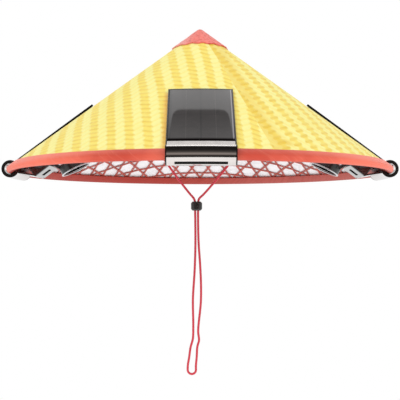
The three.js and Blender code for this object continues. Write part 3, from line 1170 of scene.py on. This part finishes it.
def hookAngle(circle, out):
    # Where the slope's parallel so far out meets a circle round the hook's middle
    clip = clipSettings
    up, away = offSlope(clip["hookRadius"], clip["hookHeight"])
    radius, height = onSlope(up + math.sqrt(circle**2 - (out - away) ** 2), out)
    down = height / mm - hat["brim"] - clip["hookHeight"]
    return math.degrees(math.atan2(down, radius / mm - clip["hookRadius"]))


def clipSheet(highEnd):
    # The frame of the panel and the hook are one bent sheet
    clip, glass = clipSettings, glassSettings
    outer, inner, pad, lip = (clip[name] for name in ("hookOuter", "hookInner", "padStart", "lip"))
    section = [onSlope(highEnd, clip["top"])]
    section += hookArc(outer, hookAngle(outer, clip["top"]), pad, 40)
    section += hookArc(outer, pad, lip, 20)[1:]
    section += hookArc(inner, lip, hookAngle(inner, clip["stepUnder"]), 36)
    section.append(onSlope(clip["stepStart"], clip["stepUnder"]))
    section.append(onSlope(clip["stepEnd"], clip["under"]))
    section.append(onSlope(highEnd, clip["under"]))
    sheet = swept("clip_sheet", section, clip["width"])
    editMode(sheet)
    for place in (clip["width"] / 2 - clip["sideEdge"], clip["boxWidth"] / 2):
        cutBeside(place)
    floor = clip["top"] - glass["thickness"] - glass["gap"]
    sink = alongSlope(clip["lowEnd"], highEnd - glass["border"], floor, clip["top"] + 1)
    carve(sheet, swept("sink", sink, clip["width"] - 2 * glass["border"]))
    return roundEdges(sheet, 0.35, 2, 50)


def paintClip(sheet, finishes):
    # The bright skin covers the hook's outer face; its sides stay black, with a matt pad below
    for finish in finishes:
        sheet.data.materials.append(finish)
    clip = clipSettings
    skinLow, skinHigh = clip["skinEnds"]
    for face in sheet.data.polygons:
        x, y, z = (v / mm for v in face.center)
        radius, height = math.hypot(x, y), z - hat["brim"]
        up, out = offSlope(radius, height)
        hookX, hookZ = radius - clip["hookRadius"], height - clip["hookHeight"]
        turn = math.degrees(math.atan2(hookZ, hookX))
        onArc = math.hypot(hookX, hookZ) > clip["hookOuter"] - 0.4 and skinLow < turn < skinHigh
        onPad = clip["padEnd"] < turn < clip["padStart"] and abs(y) < clip["boxWidth"] / 2
        onFlat = out > clip["top"] - 0.3 and up < clip["lowEnd"] + 0.2
        inside = abs(y) < clip["width"] / 2 - clip["sideEdge"]
        skin = (onArc and not onPad) or onFlat
        face.material_index = 0 if skin and inside else 2 if onPad and onArc else 1


def clipBox():
    clip = clipSettings
    bottom = clip["boxBottom"]
    line = alongSlope(clip["boxLow"], clip["boxHigh"], bottom, clip["boxTop"])
    box = roundEdges(slab("clip_box", line, clip["boxWidth"]), 1.2, 3, 30)
    low, high = (clip["portMiddle"] + end * clip["portLength"] / 2 for end in (-1, 1))
    window = alongSlope(low, high, bottom - 1, bottom + clip["portDepth"])
    carve(box, slab("port", window, clip["portWidth"]))
    return box


def clipArm():
    clip = clipSettings
    reach = clip["hookOuter"] - clip["armInset"]
    section = [
        onHook(reach, clip["armLip"]),
        onHook(reach - clip["armThickness"], clip["armLip"] - clip["armSlant"]),
        onSlope(clip["boxLow"] + 1, clip["boxBottom"] + clip["armThickness"] + 1),
        onSlope(clip["boxLow"] + 1, clip["boxBottom"]),
    ]
    return roundEdges(swept("clip_arm", section, clip["boxWidth"]), 0.3, 2, 50)


def panelGlass(highEnd):
    clip, glass = clipSettings, glassSettings
    low, top = clip["lowEnd"] + glass["gap"], clip["top"]
    side = glass["border"] + glass["gap"]
    section = alongSlope(low, highEnd - side, top - glass["thickness"], top)
    panel = roundEdges(swept("solar_panel", section, clip["width"] - 2 * side), 0.3, 2, 50)
    uvLayer = panel.data.uv_layers.new(name="panel")
    for face in panel.data.polygons:
        for loop in face.loop_indices:
            x, y, z = panel.data.vertices[panel.data.loops[loop].vertex_index].co / mm
            up, _ = offSlope(math.hypot(x, y), z - hat["brim"])
            point = glass["mapPoint"]
            uvLayer.data[loop].uv = ((y + point) * mm, (up + point) * mm)
    return panel


fanSettings = {
    "radius": 138.2,
    "height": 6.9,
    "tilt": 26.0,
    "ductOuter": 16.5,
    "ductInner": 15.1,
    "ductDepth": 9.0,
    "ringOuter": 17.1,
    "ringDepth": 1.2,
    "gap": 0.3,
    "bladeRadius": 14.3,
    "blades": 5,
    "bladeLow": 3.3,
    "bladeThickness": 0.9,
    "chord": (5.5, 9.0),  # from the hub to the tip
    "pitch": (48.0, 26.0),
    "camber": 0.9,
    "sweep": 0.7,
    "tipCut": 0.28,
    "hubRadius": 4.5,
    "hubLow": 1.0,
    "hubHigh": 6.0,
    "motorRadius": 6.4,
    "motorLow": 6.4,
    "motorHigh": 15.0,
    "shaftRadius": 1.0,
    "shaftLow": 3.0,
    "collarOuter": 8.2,
    "collarLow": 6.8,
    "collarGap": 0.35,
    "spokes": 3,
    "spokeWidth": 2.2,
    "spokeRoot": 0.6,  # how deep each end runs into its ring
    "neckWidth": 16.0,
    "neckRoot": (1.5, 14.0),  # over the bottom of the box
    "neckEnd": 2.5,
    "neckOverlap": 2.0,
    "boreReach": 20.0,
}


def fanPlace():
    place = shift(fanSettings["radius"], 0, fanSettings["height"] + hat["brim"])
    return place @ Matrix.Rotation(math.radians(fanSettings["tilt"]), 4, "Y")


def atFan(out, up):
    place = fanPlace() @ (Vector((out, 0, up)) * mm)
    return place.x, place.z


def turnsOf(count):
    return [Matrix.Rotation(fullTurn * i / count, 4, "Z") for i in range(count)]


def ringPiece(name, inner, outer, low, high, rounding=0.3):
    return roundEdges(turned(name, cornersOf(inner, outer, low, high), 64), rounding, 2, 40)


def fanHousing():
    fan, bottom = fanSettings, clipSettings["boxBottom"]
    inner, low, high = fan["ductInner"], fan["collarLow"], fan["ductDepth"]
    collarInner = fan["motorRadius"] + fan["collarGap"]
    root = fan["spokeRoot"]
    parts = [
        ringPiece("duct", inner, fan["ductOuter"], 0, high, 0.35),
        ringPiece("collar", collarInner, fan["collarOuter"], low, high),
    ]
    for turn in turnsOf(fan["spokes"]):
        line = cornersOf(fan["collarOuter"] - root, inner + root, low, high)
        parts.append(moved(roundEdges(slab("spoke", line, fan["spokeWidth"]), 0.4), turn))
    for part in parts:
        moved(part, fanPlace())
    seat = clipSettings["boxHigh"] + fan["gap"]
    ends = [onSlope(seat, bottom + height) for height in fan["neckRoot"]]
    ends += [atFan(inner - fan["neckOverlap"], height) for height in (high, fan["neckEnd"])]
    neck = roundEdges(slab("neck", ends, fan["neckWidth"]), 1.4, 3)
    reach = fan["boreReach"]
    carve(neck, moved(turned("bore", cornersOf(0, inner, -reach, reach), 64), fanPlace()))
    return joined("fan_housing", *parts, neck)


def fanMotor():
    fan = fanSettings
    shaft, can = fan["shaftRadius"], fan["motorRadius"]
    low, high = fan["motorLow"], fan["motorHigh"]
    section = [
        (0, fan["shaftLow"]), (shaft, fan["shaftLow"]), (shaft, low), (can - 0.6, low),
        (can, low + 0.6), (can, high - 1), (can - 1, high), (2.4, high), (2.2, high - 0.5),
        (0, high - 0.5),
    ]  # fmt: skip
    motor = turned("motor", inMetres(section), 48, closed=False)
    return moved(roundEdges(motor, 0.2, 2, 30), fanPlace())


def fanBlade():
    # A grid pulled into a cambered strip, steep at the hub and flatter at the tip
    fan = fanSettings
    (chordRoot, chordTip), (pitchRoot, pitchTip) = fan["chord"], fan["pitch"]
    deselectAll()
    bpy.ops.mesh.primitive_grid_add(x_subdivisions=14, y_subdivisions=10, size=1)
    blade = bpy.context.object
    root = fan["hubRadius"] - 0.8
    length = fan["bladeRadius"] - root
    for vertex in blade.data.vertices:
        along, side = vertex.co.x + 0.5, vertex.co.y
        tip = 1 - fan["tipCut"] * max(0.0, (along - 0.75) / 0.25) ** 2
        pitch = math.radians(pitchRoot + (pitchTip - pitchRoot) * along)
        y = side * (chordRoot + (chordTip - chordRoot) * along) * tip
        z = fan["camber"] * (0.25 - side**2)
        out = root + along * length - fan["sweep"] * (2 * side) ** 2 * along
        across = y * math.cos(pitch) - z * math.sin(pitch)
        up = fan["bladeLow"] + y * math.sin(pitch) + z * math.cos(pitch)
        vertex.co = Vector((out, across, up)) * mm
    thicken(blade, fan["bladeThickness"], 0.0)
    return roundEdges(blade, 0.3, 2, 60)


def fanRotor():
    fan = fanSettings
    hub, low, high = fan["hubRadius"], fan["hubLow"], fan["hubHigh"]
    bore, boreEnd = fan["shaftRadius"] + fan["gap"], fan["shaftLow"] - 0.4
    section = [
        (0, low), (hub - 1, low), (hub, low + 1), (hub, high), (bore, high), (bore, boreEnd),
        (0, boreEnd),
    ]  # fmt: skip
    parts = [roundEdges(turned("hub", inMetres(section), 48, closed=False), 0.25, 2, 30)]
    blade = fanBlade()
    parts += [copied(blade, f"blade_{i}", turn) for i, turn in enumerate(turnsOf(fan["blades"]))]
    bpy.data.objects.remove(blade)
    return moved(joined("fan_rotor", *parts), fanPlace())


def fanRing():
    fan = fanSettings
    inner, outer, high = fan["ductInner"], fan["ringOuter"], -fan["gap"]
    ring = ringPiece("fan_ring", inner, outer, high - fan["ringDepth"], high, 0.35)
    return moved(ring, fanPlace())


def addUnits():
    skins = [mirrorFinish(), plasticFinish("black_plastic"), plasticFinish("pad_rubber")]
    glossy, fanBlack = plasticFinish("box_plastic"), plasticFinish("fan_plastic")
    cells = cellFinish()
    models = {
        "fan_housing": (hardShaded(fanHousing()), fanBlack, "black_plastic"),
        "fan_ring": (hardShaded(fanRing()), metalFinish("silver_trim"), "silver_trim"),
        "motor": (hardShaded(fanMotor()), metalFinish("motor_steel"), "motor_steel"),
        "fan_rotor": (hardShaded(fanRotor()), fanBlack, "fan_plastic"),
    }
    for side, (azimuth, highEnd) in units.items():
        turn = Matrix.Rotation(math.radians(azimuth), 4, "Z")
        sheet = clipSheet(highEnd)
        paintClip(sheet, skins)
        body = joined("clip_body", clipBox(), clipArm())
        body.data.materials.append(glossy)
        clip = moved(hardShaded(joined("clip_frame", sheet, body)), turn)
        node = f"{side}_clip_frame"
        finished(clip, f"{node}_skin", None, "black_plastic", node)
        glass = moved(hardShaded(panelGlass(highEnd)), turn)
        node = f"{side}_solar_panel"
        finished(glass, f"{node}_skin", [cells], "solar_cell", node)
        for part, (model, material, slotName) in models.items():
            node = f"{side}_{part}"
            bodyName = f"{side}_rotor" if part == "fan_rotor" else "root"
            piece = copied(model, f"{node}_skin", turn)
            finished(piece, f"{node}_skin", [material], slotName, node, bodyName)
        print("stage: unit", side)
    for model, _, _ in models.values():
        bpy.data.objects.remove(model)


addUnits()

# Cord lock, knots and the cord's own finish

lockSettings = {
    "x": -3.8,
    "z": -34.8,
    "width": 12.4,
    "depth": 9.0,
    "height": 10.0,
    "shoulder": (1.6, 1.8),
    "slotWidth": 8.2,
    "slotDepth": 3.9,
    "slotReach": 7.5,
    "buttonRadius": 2.2,
    "buttonLength": 2.6,
    "buttonGap": 0.3,
}
knotSettings = {
    "length": 6.5,
    "radius": 2.9,
    "turns": 2.5,
    "cord": 1.2,
    "gap": 0.3,
    "steps": 64,
    "sides": 12,
}


def cordFinish():
    red = cordSettings
    look = Finish("cord_red", red)
    around, along, _ = look.apart(look.map("along"))
    turns = around / (math.pi * red["diameter"] * mm) * red["strands"]
    rows = along / (red["braid"] * mm)
    one, other = (look.maths("SINE", way * fullTurn) for way in (turns + rows, turns - rows))
    braid = look.larger(one, other) * 0.5 + 0.5
    fuzz = look.noise("fuzz", look.place())
    # Painted shade: the grooves between the braid's strands are the deep red
    colour = look.lay(look.lay("deep", "red", braid), "fuzz", fuzz)
    return look.done(colour, 0.6 + fuzz * 0.2, braid + fuzz * 0.3, 0.35, 0.8)


def addLock(black):
    lock = lockSettings
    half, wide = lock["height"] / 2, lock["width"] / 2
    inwards, down = lock["shoulder"]
    section = [
        (0, -half), (wide - inwards, -half), (wide, -half + down), (wide, half - down),
        (wide - inwards, half), (0, half),
    ]  # fmt: skip
    barrel = turned("cord_lock", inMetres(section), 64, closed=False)
    moved(barrel, Matrix.Diagonal((1, lock["depth"] / lock["width"], 1, 1)))
    slotHalf, reach = lock["slotWidth"] / 2, lock["slotReach"]
    slotLine = cornersOf(-slotHalf, slotHalf, -reach, reach)
    carve(barrel, slab("slot", slotLine, lock["slotDepth"]))
    place = shift(lock["x"], 0, lock["z"] + hat["brim"])
    hardShaded(moved(roundEdges(barrel, 0.35, 2, 30), place), 35)
    finished(barrel, "cord_lock_barrel", [black], "lock_plastic", "cord_lock")

    # The button sits behind the lock
    end, radius = lock["buttonLength"] / 2, lock["buttonRadius"]
    section = [
        (0, -end), (radius, -end), (radius, end), (radius * 0.5, end),
        (radius * 0.4, end - 0.3), (0, end - 0.3),
    ]  # fmt: skip
    button = roundEdges(turned("lock_button", inMetres(section), 40, closed=False), 0.3, 2, 30)
    behind = shift(0, lock["depth"] / 2 + lock["buttonGap"] + end, 0)
    smoothed(moved(button, place @ behind @ Matrix.Rotation(-math.pi / 2, 4, "X")), 35)
    finished(button, "cord_lock_button", [black], "lock_plastic", "lock_button")
    return barrel, button


def addKnot(side, end, before, finish):
    # The cord's end wound round itself
    knot = knotSettings
    way = (end - before).normalized()
    middle = end + way * ((knot["length"] / 2 + knot["gap"]) * mm)
    turn = Vector((0, 0, 1)).rotation_difference(way)
    reach, climb = knot["radius"] - knot["cord"], knot["length"] - 2 * knot["cord"]
    route = []
    for i in range(knot["steps"] + 1):
        share = i / knot["steps"]
        angle = fullTurn * knot["turns"] * share
        pull = reach * (0.35 + 0.65 * math.sin(math.pi * min(1.0, 1.15 * share + 0.12)) ** 0.5)
        place = Vector((pull * math.cos(angle), pull * math.sin(angle), climb * (share - 0.5)))
        route.append(middle + turn @ (place * mm))
    piece, _ = tube(f"knot_{side}", route, knot["cord"] * mm, knot["sides"])
    node = f"cord_knot_{side}"
    return finished(piece, f"{node}_wound", [finish], "cord_red", node)


def finishCord():
    red = cordFinish()
    lockPieces = addLock(plasticFinish("lock_plastic"))
    knots = [
        addKnot("left", cordPath[0], cordPath[6], red),
        addKnot("right", cordPath[-1], cordPath[-7], red),
    ]
    finished(cord, "chin_cord", [red], "cord_red", "cord")
    tuple(cordPath[0])
    [tuple(point) for point in cordPath]


finishCord()
print("stage: chin cord")

# Studio: a white floor well below the hat, soft lamps, and flags that the glossy skin reflects

studioSettings = {
    "floorHeight": -1.3,
    "floorRadius": 2.3,
    "fixed": {"Roughness": 0.9, "Emission Strength": 0.25, "Emission Color": (1, 1, 1, 1)},
    "colours": {"floor": (0.80, 0.80, 0.80), "pale": (0.82, 0.82, 0.82)},
    "noises": {"floor": (3.0,)},
    "ambient": (0.86, 0.86, 0.86),
    "lamps": {
        "key": {"place": (-1.2, -1.8, 1.6), "size": 1.4, "watts": 14},
        "fill": {"place": (1.6, -1.4, 0.9), "size": 1.4, "watts": 7},
        "low": {"place": (0.2, -1.0, -1.1), "size": 1.2, "watts": 4},
    },
    "aim": (0.0, 0.0, -0.08),
    # What a mirror in front of the hat sees, by degrees from the front horizon up and over
    "bands": [
        (-180, 0.9), (-95, 0.8), (-80, 0.9), (-70, 1.15), (-50, 1.15), (-43, 0.5), (-36, 0.1),
        (-25, 0.035), (-8, 0.035), (-1, 0.2), (5, 0.30), (14, 0.27), (24, 0.12), (36, 0.05),
        (55, 0.015), (96, 0.012), (107, 0.03), (109.6, 0.9), (111, 0.9), (180, 1.2),
    ],
    "tint": (1.0, 0.88, 0.82),  # of the dark bands
    "tintBelow": 0.5,
    "sides": (0.5, 0.75),  # how far aside the bands fade to white
}  # fmt: skip

# The softbox over the hat, with the dark middle that the panel shows, in degrees over
softboxSettings = {
    "start": (110.8, 111.2),
    "low": 111.2,
    "high": 113.75,
    "reach": 3.5,
    "half": 0.1335,
    "middle": 0.003,
    "bend": 98.0,
    "corners": 14,
    "edge": (1.015, 0.985),
    "dim": (0.85, 0.36),
    "bright": 1.4,
    "glow": 0.22,
    "end": (121.3, 120.7),
    "again": (125.7, 126.3),
    "beyond": 1.2,
}


def addFloor():
    studio = studioSettings
    deselectAll()
    bpy.ops.mesh.primitive_circle_add(
        vertices=128,
        radius=studio["floorRadius"],
        fill_type="NGON",
        location=(0, 0, studio["floorHeight"]),
    )
    floor = bpy.context.object
    floor.name = "floor"
    bpy.ops.object.transform_apply(location=True, rotation=False, scale=False)
    look = Finish("pale_floor", studio)
    look.put("Base Color", look.mix(look.noise("floor", look.place()), "floor", "pale"))
    floor.data.materials.append(look.material)


def addLamps():
    target = Vector(studioSettings["aim"])
    for name, lamp in studioSettings["lamps"].items():
        bpy.ops.object.light_add(type="AREA", location=lamp["place"])
        light = bpy.context.object
        light.name = f"{name}_lamp"
        light.data.energy = lamp["watts"]
        light.data.size = lamp["size"]
        light.visible_glossy = False
        way = target - Vector(lamp["place"])
        light.rotation_euler = way.to_track_quat("-Z", "Y").to_euler()


def softboxLight(sheet, x, over):
    soft, smooth = softboxSettings, sheet.smooth
    bent = over - x * x * soft["bend"]
    past = bent - soft["high"]
    beside = abs(x - soft["middle"]) / soft["half"]
    along = sheet.larger(past / soft["reach"] + 1, 0.0)
    corners = soft["corners"]
    reach = (beside**corners + along**corners) ** (1 / corners)
    inside = smooth(reach, *soft["edge"])
    low, high = soft["dim"]
    dark = smooth(bent, soft["low"], soft["high"]) * (high - low) + low
    light = dark * inside + (1 - inside) * (past * soft["glow"] + soft["bright"])
    return light * smooth(over, *soft["end"]) + smooth(over, *soft["again"]) * soft["beyond"]


def addWorld():
    studio = studioSettings
    world = bpy.data.worlds.new("studio")
    world.use_nodes = True
    bpy.context.scene.world = world
    sheet = Sheet(world.node_tree)
    sheet.tree.nodes.clear()
    x, y, z = sheet.apart(sheet.node("TexCoord", output="Generated"))
    over = sheet.maths("ARCTAN2", z, -y) * (180 / math.pi)
    stops = []
    for degree, light in studio["bands"]:
        tint = (1.0, 1.0, 1.0) if light > studio["tintBelow"] else studio["tint"]
        stops.append((degree / 360 + 0.5, tuple(light * c for c in tint)))
    bands = sheet.node("ValToRGB", {"stops": stops}, {"Fac": over / 360 + 0.5})
    box = softboxLight(sheet, x, over)
    overhead = sheet.smooth(over, *softboxSettings["start"])
    bands = sheet.mix(overhead, bands, sheet.together(box, box, box))
    white = (1.0, 1.0, 1.0)
    mirrored = sheet.mix(sheet.smooth(abs(x), *studio["sides"]), bands, white)
    # Glossy surfaces see the bands, the camera sees white, and all else an even light
    glossy, seen = (sheet.node("LightPath", output=f"Is {ray} Ray") for ray in ("Glossy", "Camera"))
    light = sheet.mix(seen, sheet.mix(glossy, studio["ambient"], mirrored), white)
    out = sheet.tree.nodes.new("ShaderNodeOutputWorld")
    sheet.feed(out.inputs["Surface"], sheet.node("Background", None, {"Color": light}))


addFloor()
addLamps()
addWorld()
bpy.context.scene.view_settings.view_transform = "Standard"
print("stage: studio")

print("stage: ready")
